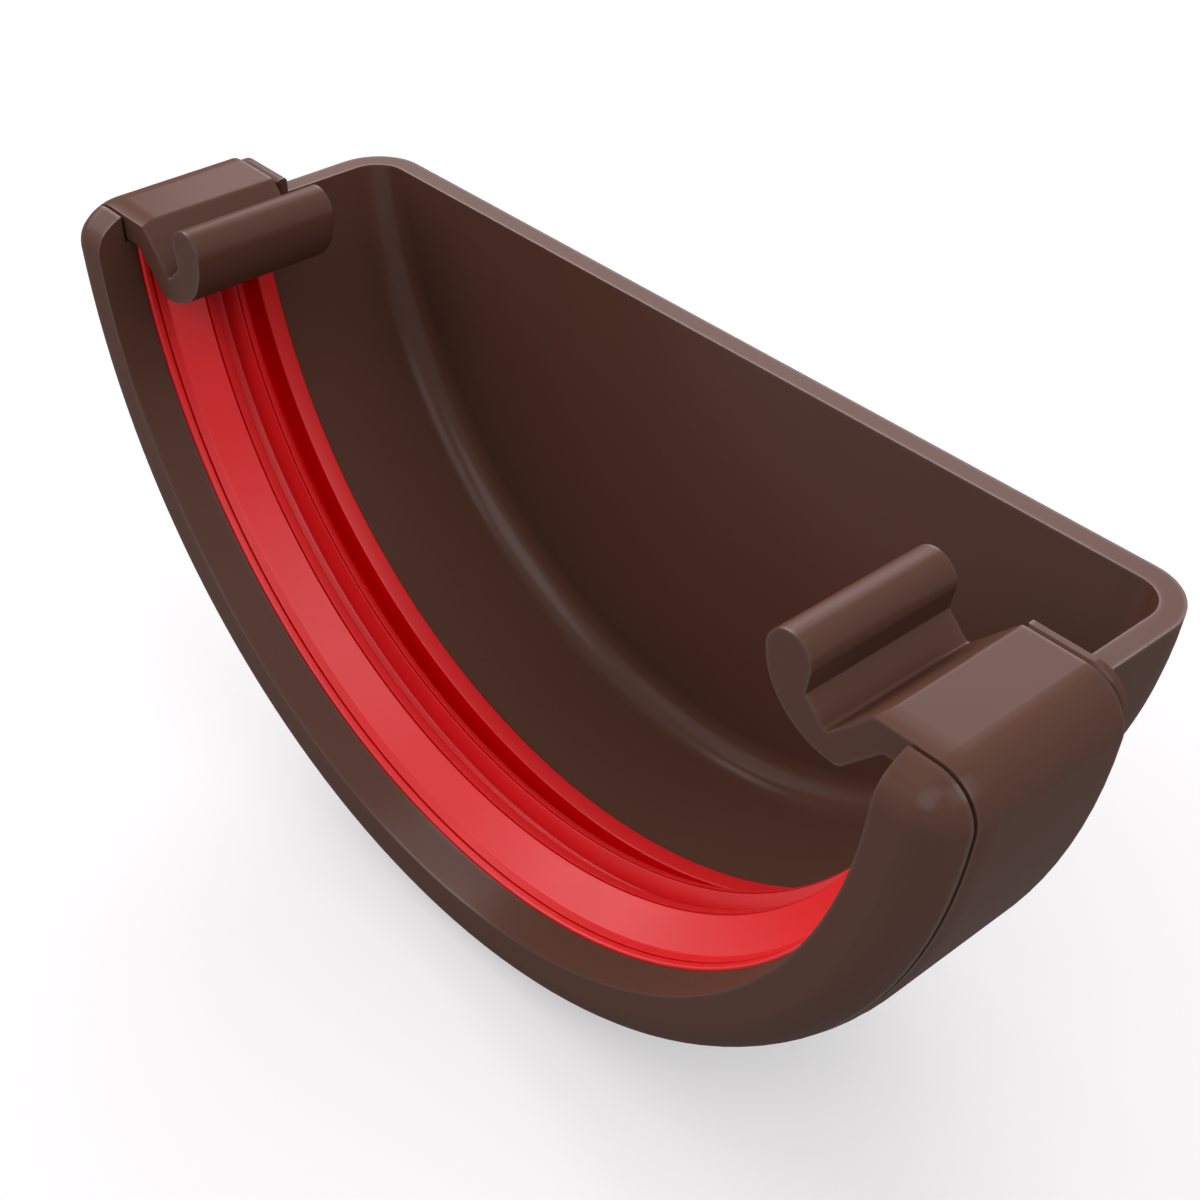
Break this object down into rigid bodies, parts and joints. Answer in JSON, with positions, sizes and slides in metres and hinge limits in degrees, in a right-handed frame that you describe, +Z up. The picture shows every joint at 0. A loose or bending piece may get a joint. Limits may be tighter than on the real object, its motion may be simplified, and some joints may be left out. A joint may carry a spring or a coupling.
{
  "type": "gutter stop end",
  "caption": "Half-round gutter stop end: a moulded cup with a flat end plate, sprung clips at the rims and a lipped rubber seal in its socket.",
  "frame": {"origin": "bottom centre of the part's box, on the floor under the half-round belly", "axes": "+Y from the open front to the flat end plate, along the gutter's axis; +X across the gutter; +Z up"},
  "size_m": [0.126, 0.0394, 0.065],
  "materials": {
    "brown_plastic": "satin moulded PVC-U",
    "red_rubber": "smooth moulded rubber"
  },
  "bodies": {
    "root": {"body": "brown_plastic", "seal": "red_rubber"}
  },
  "joints": []
}
